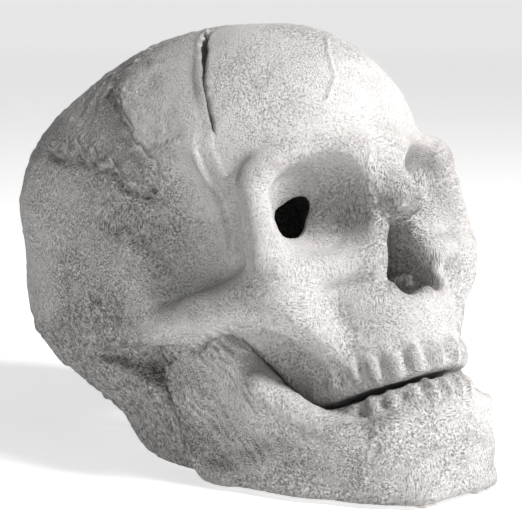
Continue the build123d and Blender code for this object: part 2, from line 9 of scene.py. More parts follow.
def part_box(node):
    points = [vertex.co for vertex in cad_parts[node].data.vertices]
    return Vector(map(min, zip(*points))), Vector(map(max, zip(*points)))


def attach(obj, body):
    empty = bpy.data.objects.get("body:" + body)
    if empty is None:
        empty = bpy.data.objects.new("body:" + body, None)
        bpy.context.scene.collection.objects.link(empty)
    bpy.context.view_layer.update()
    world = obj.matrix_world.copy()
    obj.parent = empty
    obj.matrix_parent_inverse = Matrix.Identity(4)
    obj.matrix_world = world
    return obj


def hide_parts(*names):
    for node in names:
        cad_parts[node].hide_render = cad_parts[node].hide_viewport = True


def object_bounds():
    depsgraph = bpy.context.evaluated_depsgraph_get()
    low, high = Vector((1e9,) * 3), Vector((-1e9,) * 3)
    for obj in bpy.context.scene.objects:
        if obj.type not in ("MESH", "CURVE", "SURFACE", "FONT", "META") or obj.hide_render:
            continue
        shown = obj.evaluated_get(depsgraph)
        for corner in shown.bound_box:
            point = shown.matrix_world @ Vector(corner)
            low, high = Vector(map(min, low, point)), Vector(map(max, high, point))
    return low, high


# The looks of the bubbling ornament. The cranium and the lower jaw are sculpted here in code, as
# distance fields turned to meshes; the air unit's CAD nodes stay and get their materials.
#
# Bone sizes are in millimetres in the head's own frame: side (+ is the skull's own left),
# forward, and up from the middle of the line between the ears. The head leans back in the world.

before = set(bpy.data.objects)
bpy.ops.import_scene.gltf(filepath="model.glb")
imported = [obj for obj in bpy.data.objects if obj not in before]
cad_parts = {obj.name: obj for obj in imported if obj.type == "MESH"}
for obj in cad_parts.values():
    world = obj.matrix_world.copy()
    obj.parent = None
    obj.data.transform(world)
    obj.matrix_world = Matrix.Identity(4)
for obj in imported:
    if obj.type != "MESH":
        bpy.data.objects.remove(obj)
CAD_LOW, CAD_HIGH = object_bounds()
MM = 0.001

# ---------------------------------------------------------------- places, from the frame
LEAN = math.radians(25)
CRANIUM_LOW, CRANIUM_HIGH = (np.array(corner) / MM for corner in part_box("cranium_shell"))
JAW_LOW, JAW_HIGH = (np.array(corner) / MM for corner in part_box("lower_jaw"))
EAR_BEHIND, EAR_ABOVE = 3.5, 56.5  # the ear line from the footprint's middle and the ground
OUTSIDE_LOW, OUTSIDE_HIGH = np.array(CAD_LOW) / MM, np.array(CAD_HIGH) / MM
SPARE = 1.2  # room inside the box for the surface's roughness
RIM = CRANIUM_LOW[2]  # underside of the castings
NECK_BEHIND, NECK_SIDE, NECK_LENGTH, NECK_TOP = -12, 49, 67, 85
NECK_LEAN, NECK_FLARE = 30, (17, 20)  # how far the neck's middle goes back, and how it widens
NECK_HOLLOW_TOP = 66
WALL = 11  # thickness of the shell
FIT = 0.6  # gap between the two castings
SLIT_FORWARD, SLIT_SLANT = 45, 0.7  # the crack over the crown, in the head's frame
SLIT_SIDE, SLIT_HALF_LENGTH, SLIT_FLOOR = -36, 15, 55
NOTCH_HALF, NOTCH_TOP, NOTCH_CORNER, NOTCH_BEHIND = 23, 30, 12, 30  # the hose's way out
STEP = 1.0  # of the grid that the castings are sculpted on
FAR = 30.0  # the distance where nothing has been sculpted
TINY = 1e-6  # keeps a division away from zero


def place(side, forward, up):
    """A point of the head's frame in the world, in millimetres."""
    return np.array([
        side,
        EAR_BEHIND - forward * math.cos(LEAN) + up * math.sin(LEAN),
        EAR_ABOVE + forward * math.sin(LEAN) + up * math.cos(LEAN),
    ])


# ---------------------------------------------------------------- distance fields
def smooth_min(a, b, blend):
    """The union of two distances, with a fillet about as wide as blend."""
    if blend <= 0:
        return np.minimum(a, b)
    near = np.maximum(blend - np.abs(a - b), 0) / blend
    return np.minimum(a, b) - near * near * (blend / 4)


def smooth_max(a, b, blend):
    return -smooth_min(-a, -b, blend)


class Clay:
    """A block of distances in millimetres on a grid: negative is solid."""

    def __init__(self, low, high):
        self.low = np.floor(np.array(low, float) / STEP) * STEP
        self.axes = [np.arange(a, b, STEP, dtype=np.float32) for a, b in zip(self.low, high)]
        self.field = np.full([len(axis) for axis in self.axes], FAR, np.float32)

    def window(self, low, high):
        """The slices and the points of the grid between two world corners."""
        first = np.maximum(np.floor((np.array(low) - self.low) / STEP).astype(int), 0)
        last = np.ceil((np.array(high) - self.low) / STEP).astype(int) + 1
        cut = tuple(slice(a, max(b, a)) for a, b in zip(first, last))
        x, y, z = (axis[part] for axis, part in zip(self.axes, cut))
        x, y, z = x[:, None, None], y[None, :, None], z[None, None, :]
        forward = (EAR_BEHIND - y) * math.cos(LEAN) + (z - EAR_ABOVE) * math.sin(LEAN)
        up = (y - EAR_BEHIND) * math.sin(LEAN) + (z - EAR_ABOVE) * math.cos(LEAN)
        return cut, (x, forward, up, y, z)

    def whole(self):
        """The points of the whole grid."""
        return self.window(self.low, [axis[-1] for axis in self.axes])[1]

    def around(self, shape, blend):
        margin = shape.reach + blend + 2 * STEP
        return self.window(shape.middle - margin, shape.middle + margin)

    def add(self, shape, blend=0.0):
        cut, points = self.around(shape, blend)
        self.field[cut] = smooth_min(self.field[cut], shape.distance(*points), blend)

    def cut(self, shape, blend=0.0):
        cut, points = self.around(shape, blend)
        self.field[cut] = smooth_max(self.field[cut], -shape.distance(*points), blend)

    def carve(self, distance, blend):
        """Takes away all clay where a distance over the whole grid is negative."""
        self.field[:] = smooth_max(self.field, -distance.astype(np.float32), blend)

    def both(self, action, make, blend=0.0):
        """Does an action on the left and on the right."""
        for hand in (1, -1):
            action(make(hand), blend)


class Shape:
    """A distance function of (side, forward, up, world y, world z), and where it lies."""

    def __init__(self, distance, middle, reach):
        self.distance, self.middle, self.reach = distance, middle, reach


def ball(centre, radii, pitch=0.0, yaw=0.0):
    """An ellipsoid; pitch turns it nose up, yaw turns its front to the side, in degrees."""
    p, q = math.radians(pitch), math.radians(yaw)
    a, b, c = radii

    def distance(x, f, u, y, z):
        x, f, u = x - centre[0], f - centre[1], u - centre[2]
        x, f = x * math.cos(q) - f * math.sin(q), x * math.sin(q) + f * math.cos(q)
        f, u = f * math.cos(p) + u * math.sin(p), -f * math.sin(p) + u * math.cos(p)
        k0 = np.sqrt((x / a) ** 2 + (f / b) ** 2 + (u / c) ** 2)
        k1 = np.sqrt((x / a**2) ** 2 + (f / b**2) ** 2 + (u / c**2) ** 2)
        return (k0 * (k0 - 1) / np.maximum(k1, TINY)).astype(np.float32)

    return Shape(distance, place(*centre), max(radii))


def bone(start, end, r0, r1, flat=1.0):
    """A bar between two points with a radius at each; flat below 1 thins it from side to side."""
    a, b = np.array(start, float), np.array(end, float)
    squeeze = np.array([1 / flat, 1, 1])
    run = (b - a) * squeeze
    length2 = float(run @ run)

    def distance(x, f, u, y, z):
        dx, df, du = (x - a[0]) * squeeze[0], f - a[1], u - a[2]
        t = np.clip((dx * run[0] + df * run[1] + du * run[2]) / length2, 0, 1)
        away = np.sqrt((dx - t * run[0]) ** 2 + (df - t * run[1]) ** 2 + (du - t * run[2]) ** 2)
        return ((away - (r0 + t * (r1 - r0))) * min(flat, 1)).astype(np.float32)

    middle = place(*((a + b) / 2))
    return Shape(distance, middle, float(np.linalg.norm(b - a)) / 2 + max(r0, r1))


def oval(x, y, half_width, half_length):
    """The distance from an oval about the origin, negative inside."""
    k0 = np.sqrt((x / half_width) ** 2 + (y / half_length) ** 2)
    k1 = np.sqrt((x / half_width**2) ** 2 + (y / half_length**2) ** 2)
    return k0 * (k0 - 1) / np.maximum(k1, TINY)


def polygon(points, p, q):
    """The distance from (p, q) to a closed polygon, negative inside."""
    best = np.full(np.broadcast(p, q).shape, 1e9, np.float32)
    inside = np.zeros(best.shape, bool)
    for (ax, ay), (bx, by) in zip(points, points[1:] + points[:1]):
        ex, ey = bx - ax, by - ay
        wx, wy = p - ax, q - ay
        t = np.clip((wx * ex + wy * ey) / (ex * ex + ey * ey), 0, 1)
        best = np.minimum(best, (wx - t * ex) ** 2 + (wy - t * ey) ** 2)
        if ay != by:
            crosses = ((ay > q) != (by > q)) & (p < (bx - ax) * (q - ay) / (by - ay) + ax)
            inside ^= crosses
    return np.where(inside, -1, 1) * np.sqrt(best)


def rounded(points):
    """A closed outline with its corners cut back twice into curves."""
    for _ in range(2):
        closed = list(zip(points, points[1:] + points[:1]))
        points = [
            (a[0] + (b[0] - a[0]) * t, a[1] + (b[1] - a[1]) * t) for a, b in closed for t in (0.25, 0.75)
        ]
    return points


# ---------------------------------------------------------------- noise
def scatter(cells, seed):
    """A repeatable number from 0 to 1 for each whole-number cell."""
    h = cells[..., 0] * 374761393 + cells[..., 1] * 668265263 + cells[..., 2] * 2147483647 + seed * 974711
    h = (h ^ (h >> 13)) * 1274126177
    h = h ^ (h >> 16)
    return (h & 0xFFFFFF).astype(np.float32) / 0xFFFFFF


def noise(points, size, seed):
    """Smooth noise from -1 to 1; size is the grain in millimetres, one or three numbers."""
    p = points / np.array(size, float)
    base = np.floor(p).astype(np.int64)
    t = (p - base).astype(np.float32)
    t = t * t * t * (t * (t * 6 - 15) + 10)
    total = 0
    for corner in np.ndindex(2, 2, 2):
        weight = np.prod(np.where(corner, t, 1 - t), axis=-1)
        total = total + weight * scatter(base + np.array(corner), seed)
    return total * 2 - 1


def rough(points, size, seed, octaves):
    """Noise with finer grain on top."""
    size = np.array(size, float)
    return sum(noise(points, size / 2**n, seed + n) * 0.5**n for n in range(octaves))


# ---------------------------------------------------------------- lower jaw
JAW_OUTLINE = [  # forward and up
    (70, -105), (77, -99), (82.5, -90), (83.5, -83), (82, -74), (85, -66), (90, -57), (91, -50), (60, -50),
    (47, -50), (42, -36), (40, -20), (38, -9), (35, -5), (31, -10), (24, -18), (16, -10), (12, -4),
    (6, -5), (2, -13), (0, -30), (-1, -48), (4, -62), (14, -72),
]
JAW_OUTSIDE = [(0, 114.5), (14, 113.5), (24, 108.5), (36, 95), (46, 68), (53, 36), (56.5, 12), (57, -6)]
JAW_INSIDE = [(0, 98), (12, 94), (22, 80), (33, 58), (41, 30), (44.5, 10), (45, -6)]
ARCH_MIDDLE = 50  # the dental arches are half ellipses about here


def jaw_side(x, f, u, y, z):
    """The jaw's outline seen from the side."""
    return polygon(rounded(JAW_OUTLINE), f, u).astype(np.float32)


def jaw_plan(x, f, u, y, z):
    """The horseshoe between the jaw's outside and inside, upright in the world."""
    ahead = EAR_BEHIND - y
    full = JAW_OUTSIDE + [(-s, a) for s, a in reversed(JAW_OUTSIDE[1:])]
    hole = JAW_INSIDE + [(-s, a) for s, a in reversed(JAW_INSIDE[1:])]
    outer = polygon(rounded(full), x, ahead)
    inner = polygon(rounded([(s, a if a > 0 else -30) for s, a in hole]), x, ahead)
    return smooth_max(outer, -inner, 3).astype(np.float32)


def arch(half, front, low, high):
    """A solid half-ellipse slab for a row of teeth, level in the head's frame."""

    def distance(x, f, u, y, z):
        plan = oval(x, np.maximum(f - ARCH_MIDDLE, 0), half, front - ARCH_MIDDLE)
        plan = np.maximum(plan, (ARCH_MIDDLE - 8) - f)
        level = np.maximum(low - u, u - high)
        return smooth_max(plan, level, 2).astype(np.float32)

    return Shape(distance, place(0, (ARCH_MIDDLE + front) / 2, (low + high) / 2), half + 26)


def tooth_places(widths, half, front):
    """Where the teeth of one side stand along an arch: side, forward, and the way they face."""
    angles = np.linspace(0, math.pi / 2, 200)
    side = half * np.sin(angles)
    ahead = ARCH_MIDDLE + (front - ARCH_MIDDLE) * np.cos(angles)
    run = np.concatenate([[0], np.cumsum(np.hypot(np.diff(side), np.diff(ahead)))])
    at, places = 0.0, []
    for width in widths:
        s = np.interp(at + width / 2, run, side)
        a = np.interp(at + width / 2, run, ahead)
        t = np.interp(at + width / 2, run, angles)
        out = math.degrees(math.atan2(math.sin(t) / half, math.cos(t) / (front - ARCH_MIDDLE)))
        places.append((s, a, out, width))
        at += width
    return places


def teeth(clay, widths, half, front, middle, height, root):
    """A row of teeth in shallow relief, each with the swelling of its root."""
    for order, (side, ahead, out, width) in enumerate(tooth_places(widths, half, front)):
        for hand in (1, -1):
            lift = 0.42 * math.sin(order * 2.3 + hand)
            crown = ball((hand * side, ahead, middle + lift), (width * 0.53, 4.6, height), yaw=hand * out)
            clay.add(crown, 0.8)
            s, a = hand * side * 0.97, ahead * 0.985
            clay.add(bone((s, a - 0.5, middle + root * 0.3), (s, a - 2.2, middle + root), 3.6, 2.4), 2.5)


def under_arch(hand):
    """The gap under the cheek arch, outside the ramus of the jaw."""
    return bone((hand * 60, 6, -15), (hand * 60, 46, -18), 5, 5.5)


def lower_jaw_clay():
    clay = Clay((-62, JAW_LOW[1] - 3, -3), (62, JAW_HIGH[1] + 8, JAW_HIGH[2] + 10))
    points = clay.whole()
    x, f, u, y, z = points
    body = smooth_max(jaw_side(*points), jaw_plan(*points), 5)
    # the tooth-bearing part stands inside the broad lower border
    shelf = -62 - 0.10 * np.maximum(60 - f, 0)
    base = smooth_max(body, u - shelf, 5)
    ramus = smooth_max(body, f - 47, 8)
    clay.field[:] = smooth_min(base, ramus, 10)
    clay.add(arch(half=29.5, front=90.5, low=-80, high=-54), 7)
    clay.both(clay.add, lambda h: bone((h * 46, 42, -40), (h * 36, 62, -64), 6.5, 6), 9)
    clay.both(clay.add, lambda h: bone((h * 51, 6, -52), (h * 52, 14, -66), 6, 5), 6)
    clay.add(ball((0, 79, -88), (13, 6, 9)), 7)
    clay.both(clay.add, lambda h: ball((h * 14, 76, -93), (8, 6, 6)), 6)
    clay.cut(ball((0, 96, -73), (16, 9, 6)), 6)
    clay.both(clay.cut, lambda h: ball((h * 59, 28, -36), (7, 12, 15)), 7)
    # grout over the ends of the dowels
    clay.both(clay.add, lambda h: ball((h * 49, 12, -31.5), (8.6, 9, 9)), 5)
    clay.both(clay.cut, lambda h: ball((h * 36, 76, -76), (3, 3, 3)), 2)
    clay.both(clay.cut, under_arch, 2)
    teeth(clay, (5.4, 6, 7, 7, 7.2, 10.5, 10), half=27.2, front=88.5, middle=-59.5, height=6.2, root=-15)
    # flat on the ground
    clay.carve(z - RIM, 1.5)
    keep_inside(clay)
    return clay


# ---------------------------------------------------------------- cranium
def neck():
    """The collar under the braincase: an oval that leans back and widens as it rises."""

    def distance(x, f, u, y, z):
        rise = 1 - (1 - np.clip(z, 0, NECK_TOP) / NECK_TOP) ** 1.5
        middle = NECK_BEHIND + NECK_LEAN * rise
        half_width = NECK_SIDE - 2 + NECK_FLARE[0] * rise
        half_length = NECK_LENGTH - 3 + NECK_FLARE[1] * rise
        wall = oval(x, y - middle, half_width, half_length)
        wall = wall - 1.2 * np.clip((9 - z) / 2, 0, 1)  # the rim band
        return np.maximum(wall, np.maximum(-2 - z, z - NECK_TOP)).astype(np.float32)

    return Shape(distance, np.array([0, NECK_BEHIND + 18, 35]), 115)


def neck_hollow(x, f, u, y, z):
    """The hollow that goes over the air unit, straight up to the hollow head."""
    wall = oval(x, y - NECK_BEHIND - 0.2 * z, NECK_SIDE - WALL, NECK_LENGTH - WALL)
    return np.maximum(wall, z - NECK_HOLLOW_TOP).astype(np.float32)


def orbit(hand):
    """An eye socket: a rounded square cone that closes to a hole in the hollow head."""

    def distance(x, f, u, y, z):
        depth = np.clip(96 - f, 0, 60)
        side = hand * (33 - 0.20 * depth)
        size = np.interp(depth, [0, 10, 21, 30, 34, 60], [20.5, 19.0, 15.5, 9.0, 6.5, 6.0])
        size = size.astype(np.float32)
        across = np.abs((x - side) / 1.08) ** 2.5 + np.abs((u - 17 - 0.03 * depth) / 0.95) ** 2.5
        return (across ** 0.4 - size).astype(np.float32) * 0.9

    return Shape(distance, place(hand * 27, 70, 17), 42)


def nasal_opening(x, f, u, y, z):
    """A pear-shaped channel, narrow at the top, from the face to the hollow head."""
    pear = [(0, 9), (5, 6), (8, -3), (12, -12), (12.5, -18), (8, -23), (0, -22)]
    outline = rounded(pear + [(-s, t) for s, t in reversed(pear[1:-1])])
    pinch = 1 + 0.008 * np.clip(90 - f, 0, 60)
    return smooth_max(polygon(outline, x * pinch, u), 34 - f, 4).astype(np.float32)


def before_slit(x, f):
    """How far a point lies in front of the crack over the crown, which is a little crooked."""
    line = SLIT_FORWARD - SLIT_SLANT * (x + 25) + 0.5 * np.sin(x * 0.3) + 0.3 * np.sin(x * 0.9 + 1)
    return (f - line) / math.hypot(1, SLIT_SLANT)


def slit(x, f, u, y, z):
    """The open crack itself: wide near the crown, closed to a thin groove on the side."""
    half_width = 0.7 + 0.9 * np.clip((x + 46) / 8, 0, 1)
    across = np.abs(before_slit(x, f)) - half_width
    along = np.abs(x - SLIT_SIDE) - SLIT_HALF_LENGTH
    return np.maximum(across, np.maximum(along, SLIT_FLOOR - u)).astype(np.float32)


def hose_notch(x, f, u, y, z):
    """The way out for the hose, at the back of the rim, with rounded upper corners."""
    notch = np.maximum(np.maximum(np.abs(x) - NOTCH_HALF, z - NOTCH_TOP), NOTCH_BEHIND - y)
    aside, over = np.abs(x) - NOTCH_HALF + NOTCH_CORNER, z - NOTCH_TOP + NOTCH_CORNER
    return np.maximum(notch, np.hypot(np.maximum(aside, 0), np.maximum(over, 0)) - NOTCH_CORNER)


def braincase(clay):
    """The smooth vault, with its sides filled out, on the neck."""
    clay.add(ball((0, -4, 50), (68.0, 86, 65)))
    clay.add(ball((0, 42, 48), (55, 50, 52)), 14)
    clay.add(ball((0, -50, 34), (54, 42, 42)), 18)
    clay.both(clay.add, lambda h: ball((h * 34, -24, 62), (35, 38, 33)), 14)
    clay.both(clay.add, lambda h: ball((h * 40, -4, 10), (21, 44, 26)), 16)
    clay.both(clay.add, lambda h: ball((h * 26, -44, 22), (38, 38, 34)), 14)
    clay.add(neck(), 22)


def face_bones(clay):
    """The mass of the face, the rims of the sockets, the nose bones and the temples."""
    clay.add(ball((0, 52, 8), (50, 38, 34)), 10)
    clay.add(ball((0, 60, -22), (31, 34, 26)), 8)
    clay.add(arch(half=30, front=92.5, low=-51.5, high=-20), 8)
    clay.both(clay.add, lambda h: ball((h * 42, 64, -9), (15, 14, 13)), 8)
    clay.both(clay.add, lambda h: bone((h * 42, 66, -14), (h * 30, 68, -34), 9, 6), 6)
    # brow, side rim and floor rim of the sockets
    clay.add(ball((0, 86, 33), (17, 9, 9)), 8)
    clay.both(clay.add, lambda h: bone((h * 10, 88, 34), (h * 44, 77, 34), 6, 7), 8)
    clay.both(clay.add, lambda h: bone((h * 49, 73, 30), (h * 50, 69, 0), 6.5, 7.5), 6)
    clay.both(clay.add, lambda h: bone((h * 47, 71, -4), (h * 18, 86, -5), 7, 5), 6)
    # nose bones
    clay.add(bone((0, 86, 30), (0, 95, 13), 8, 8, flat=1.1), 4)
    clay.both(clay.add, lambda h: bone((h * 9, 87, 24), (h * 15, 86, -8), 6, 6), 5)
    # temples
    clay.both(clay.cut, lambda h: ball((h * 70, 45, 20), (19, 27, 30), yaw=h * 14), 11)


def cheek_arches(clay):
    """A ledge down each side, with a groove under it and hollows behind the jaw."""
    clay.both(clay.add, lambda h: bone((h * 44, 34, -6), (h * 46, 6, 0), 12, 10), 8)
    clay.both(clay.add, lambda h: bone((h * 49, 60, -8), (h * 59, 38, -5), 9, 6.5), 5)
    clay.both(clay.add, lambda h: bone((h * 59, 38, -5), (h * 59, 14, -3), 6.5, 5.5), 3)
    clay.both(clay.add, lambda h: bone((h * 59, 14, -3), (h * 52, -8, 4), 5.5, 7), 5)
    clay.both(clay.add, lambda h: bone((h * 55, 0, 1), (h * 56, -34, 9), 7, 3.5), 5)
    clay.both(clay.add, lambda h: bone((h * 47, -12, 0), (h * 45, -8, -24), 13, 8), 7)
    clay.both(clay.cut, under_arch, 2)
    clay.both(clay.cut, lambda h: bone((h * 60, 8, -14), (h * 61, -8, -9), 4, 3.8), 2.5)
    clay.both(clay.cut, lambda h: bone((h * 61, -8, -9), (h * 61, -26, -3), 3.8, 1.5), 2.5)
    clay.both(clay.cut, lambda h: ball((h * 59, -2, -14), (9, 9, 6), pitch=-30), 4)
    clay.both(clay.cut, lambda h: ball((h * 57, 3, -22), (7, 4, 8), pitch=20), 4)


def openings(clay):
    """The hollow for the air unit, the eye sockets and the nose with its thin bones."""
    points = clay.whole()
    hollow = ball((0, -3.5, 48), (70 - WALL, 89 - WALL, 70 - WALL)).distance(*points)
    hollow = smooth_min(hollow, neck_hollow(*points), 6)
    clay.carve(hollow, 2)
    clay.both(clay.cut, orbit, 5)
    clay.carve(nasal_opening(*points), 3)
    clay.add(bone((0, 66, -20), (0, 74, 4), 2.6, 2.2, flat=0.7), 2)
    clay.both(clay.add, lambda h: ball((h * 9, 66, -14), (3.5, 14, 5)), 2)
    clay.add(bone((0, 86, -24), (0, 93.5, -22.5), 3, 2), 3)


def cranium_clay(jaw):
    clay = Clay(CRANIUM_LOW - 3, CRANIUM_HIGH + 4)
    braincase(clay)
    face_bones(clay)
    cheek_arches(clay)
    openings(clay)
    teeth(clay, (8.4, 6.8, 7.8, 7, 6.8, 10, 9), half=28.2, front=90.5, middle=-45, height=6.6, root=17)
    # crack, jaw bed, hose notch and flat rim
    x, f, u, y, z = points = clay.whole()
    clay.carve(slit(*points), 0.6)
    clay.carve(jaw_bed(jaw, clay) - FIT, 1)
    clay.carve(hose_notch(*points), 2)
    clay.carve(z - RIM, 1.5)
    keep_inside(clay)
    return clay


def keep_inside(clay):
    """Eases the clay back where it would leave the CAD model's box."""
    x, f, u, y, z = clay.whole()
    half = OUTSIDE_HIGH[0] - SPARE
    box = np.maximum(np.abs(x) - half, np.maximum(OUTSIDE_LOW[1] + SPARE - y, y - OUTSIDE_HIGH[1] + SPARE))
    box = np.maximum(box, z - OUTSIDE_HIGH[2] + SPARE)
    clay.carve(-box, 5)


def jaw_bed(jaw, clay):
    """The jaw's distances, read on the cranium's grid."""
    bed = np.full(clay.field.shape, FAR, np.float32)
    start = np.round((jaw.low - clay.low) / STEP).astype(int)
    target, source = [], []
    for n in range(3):
        a = max(start[n], 0)
        b = min(start[n] + jaw.field.shape[n], bed.shape[n])
        target.append(slice(a, b))
        source.append(slice(a - start[n], b - start[n]))
    bed[tuple(target)] = jaw.field[tuple(source)]
    return bed


# ---------------------------------------------------------------- relief of the rough casting
# broken edges on the right of the braincase, forward and up
FRONT_EDGE = [(13, 94), (20, 85), (26, 75), (30, 64), (34, 57), (38, 53), (35, 47), (29, 45)]
REAR_EDGE = [
    (-14, 79), (-9, 75), (-6, 79), (-3, 71), (1, 75), (5, 66),
    (10, 69), (11, 62), (17, 61), (22, 53), (31, 43),
]
TEMPLE_EDGE = [(59, 58), (57, 50), (57, 38), (56, 20), (53, 4)]
# a broken edge, what closes it, its depth, fade and lip
LEDGES = (
    (FRONT_EDGE, [(40, 8), (62, 8), (62, 94)], 3.0, 14, 1.2),
    (REAR_EDGE, [(31, 62), (20, 84), (13, 92), (-14, 92)], 2.4, 10, 2.6),
    (TEMPLE_EDGE, [(20, 4), (20, 58)], 1.8, 12, 0.0),
)
FOREHEAD_CRACK = [(4, 84), (-4, 76), (-9, 64), (-16, 56)]  # side and up


def away_from_line(points, p, q):
    """The distance from (p, q) to an open line."""
    best = np.full(p.shape, 1e9)
    for (ax, ay), (bx, by) in zip(points, points[1:]):
        ex, ey = bx - ax, by - ay
        t = np.clip(((p - ax) * ex + (q - ay) * ey) / (ex * ex + ey * ey), 0, 1)
        best = np.minimum(best, np.hypot(p - ax - t * ex, q - ay - t * ey))
    return best


def turned(points, pitch, yaw):
    """The points about other axes, for strokes that run another way."""
    return points @ np.array(Matrix.Rotation(pitch, 3, "X") @ Matrix.Rotation(yaw, 3, "Z"))


def strokes(points, seed):
    """Short brush strokes, whose direction changes from patch to patch."""
    patch = noise(points, 30, seed)
    one = noise(turned(points, 0.5, 0.4), (1.9, 1.9, 9), seed + 1)
    other = noise(turned(points, -0.9, 1.2), (1.9, 1.9, 9), seed + 2)
    share = np.clip(0.5 + 2 * patch, 0, 1)
    return one * share + other * (1 - share)


def in_head(points):
    """Forward and up in the head's frame, of points in the world."""
    back, over = points[:, 1] - EAR_BEHIND, points[:, 2] - EAR_ABOVE
    f = -back * math.cos(LEAN) + over * math.sin(LEAN)
    return f, back * math.sin(LEAN) + over * math.cos(LEAN)


def coarseness(points):
    """How coarse the skin of the casting is, from 0 to 1: smooth forehead, coarse lower back."""
    f, u = in_head(points)
    patches = 0.5 + 0.35 * rough(points, 34, 3, 2)
    low_back = np.clip((22 - u) / 14, 0, 1) * np.clip((16 - f) / 14, 0, 1)
    front = np.clip((f - 40) / 14, 0, 1) * (0.12 + 0.30 * np.clip((u - 34) / 12, 0, 1))
    side = np.clip((36 - f) / 14, 0, 1) * 0.15
    return np.clip(patches + 0.6 * low_back + side - front, 0.1, 1)


def skin(points):
    """Low waves, lumps, brush strokes and pits of the bare casting."""
    coarse = coarseness(points)
    height = 0.55 * rough(points, 26, 11, 2) + 0.34 * rough(points, 7, 21, 3) * coarse
    height = height + 0.26 * strokes(points, 31) * coarse
    small = np.clip(noise(points, 3.2, 41) - 0.30, 0, 1)
    large = np.clip(noise(points, 6.5, 42) - 0.42, 0, 1)
    return height - 1.2 * (small + large * 1.6) * coarse


def plates(x, f, u, broken):
    """Plates of the braincase, with broken edges."""
    height = np.zeros(x.shape)
    side = np.clip((-x - 34) / 10, 0, 1)
    for edge, closing, depth, fade, lip_height in LEDGES:
        inside = polygon(edge + closing, f + broken, u + broken) < 0
        away = away_from_line(edge, f + broken, u + broken)
        to_end = np.minimum(*[np.hypot(f - end[0], u - end[1]) for end in (edge[0], edge[-1])])
        step = inside * np.clip(away / 1.6, 0, 1) * np.exp(-away / fade) * np.clip(to_end / 12, 0, 1)
        lip = ~inside * np.exp(-(((away - 1.2) / 1.6) ** 2)) * (0.6 + 0.5 * broken)
        height = height - side * (depth * step - lip_height * lip)
    return height


def slit_lip(x, f, u):
    """The rear lip of the slit slopes into it."""
    behind = -before_slit(x, f)
    sloped = np.clip((u - 64) / 8, 0, 1) * (np.abs(x + 34) < 17) * (behind > 0)
    return -1.2 * np.clip(1 - behind / 4, 0, 1) * sloped


def hairline(x, f, u, broken):
    """A hairline crack on the forehead."""
    away = away_from_line(FOREHEAD_CRACK, x + 0.8 * broken, u + 0.5 * broken)
    return -0.8 * np.exp(-((away / 0.8) ** 2)) * (f > 40)


def tool_marks(points, x, f, u, broken):
    """Combed marks down the side of the jaw."""
    comb = np.sin((f * 0.9 + u * 0.35 + 1.2 * broken) * 1.7)
    flange = np.clip((np.abs(x) - 40) / 6, 0, 1) * (u < -12) * (f < 44) * (f > 0)
    return 0.4 * comb * flange * (0.7 + rough(points, 9, 55, 1))


def relief(points):
    """How far the rough surface stands out from the smooth clay, in millimetres."""
    x = points[:, 0]
    f, u = in_head(points)
    broken = 1.1 * noise(points, 4, 51) + 0.7 * noise(points, 2.2, 52)
    height = skin(points) + plates(x, f, u, broken) + slit_lip(x, f, u) + hairline(x, f, u, broken)
    height = height + tool_marks(points, x, f, u, broken)
    # a smooth band round the rim
    band = np.clip((10 - points[:, 2]) / 3, 0, 1)
    return height * (1 - 0.65 * band)


# ---------------------------------------------------------------- meshes
def mesh_of(clay, name):
    """The surface of a block of clay as an object, in metres."""
    grid = openvdb.FloatGrid(FAR)
    grid.copyFromArray(np.ascontiguousarray(clay.field))
    points, quads = grid.convertToQuads(0.0)
    points = points * STEP + clay.low
    mesh = bpy.data.meshes.new(name)
    mesh.vertices.add(len(points))
    mesh.vertices.foreach_set("co", (points * MM).astype(np.float32).ravel())
    mesh.loops.add(quads.size)
    mesh.loops.foreach_set("vertex_index", quads[:, ::-1].astype(np.int32).ravel())
    mesh.polygons.add(len(quads))
    mesh.polygons.foreach_set("loop_start", np.arange(0, quads.size, 4, dtype=np.int32))
    mesh.polygons.foreach_set("loop_total", np.full(len(quads), 4, np.int32))
    mesh.update(calc_edges=True)
    mesh.shade_smooth()
    roughen(mesh)
    piece = bpy.data.objects.new(name, mesh)
    bpy.context.scene.collection.objects.link(piece)
    return piece


def corners_of(mesh, what="co"):
    """The vertices, or their normals, as rows of numbers."""
    rows = np.empty(len(mesh.vertices) * 3, np.float32)
    source = mesh.vertices if what == "co" else mesh.vertex_normals
    source.foreach_get(what if what == "co" else "vector", rows)
    return rows.reshape(-1, 3).astype(float)


def mark(mesh, name, values):
    """Keeps one number for each vertex, for the material to read."""
    attribute = mesh.attributes.new(name, "FLOAT", "POINT")
    attribute.data.foreach_set("value", values.astype(np.float32))


def roughen(mesh):
    """Moves the vertices out and in by the relief, and marks the hollows and bumps for the material's painted
    shade and painted highlights.
    """
    points, normals = corners_of(mesh) / MM, corners_of(mesh, "normal")
    points = points + normals * relief(points)[:, None]
    points = np.clip(points, OUTSIDE_LOW + 0.1, OUTSIDE_HIGH - 0.1)
    points[:, 2] = np.maximum(points[:, 2], RIM)
    mesh.vertices.foreach_set("co", (points * MM).astype(np.float32).ravel())
    mesh.update()
    mark(mesh, "coarse", coarseness(points))
    edges = np.empty(len(mesh.edges) * 2, np.int32)
    mesh.edges.foreach_get("vertices", edges)
    a, b = edges.reshape(-1, 2).T
    count = np.bincount(a, minlength=len(points)) + np.bincount(b, minlength=len(points))
    smooth = points.copy()
    for name, rounds in (("fine_hollow", 2), ("wide_hollow", 14)):
        for _ in range(rounds):
            total = np.stack([
                np.bincount(a, smooth[b, n], len(points)) + np.bincount(b, smooth[a, n], len(points))
                for n in range(3)
            ], axis=1)
            smooth = 0.5 * smooth + 0.5 * total / count[:, None]
        depth = np.einsum("ij,ij->i", smooth - points, corners_of(mesh, "normal"))
        mark(mesh, name, depth)


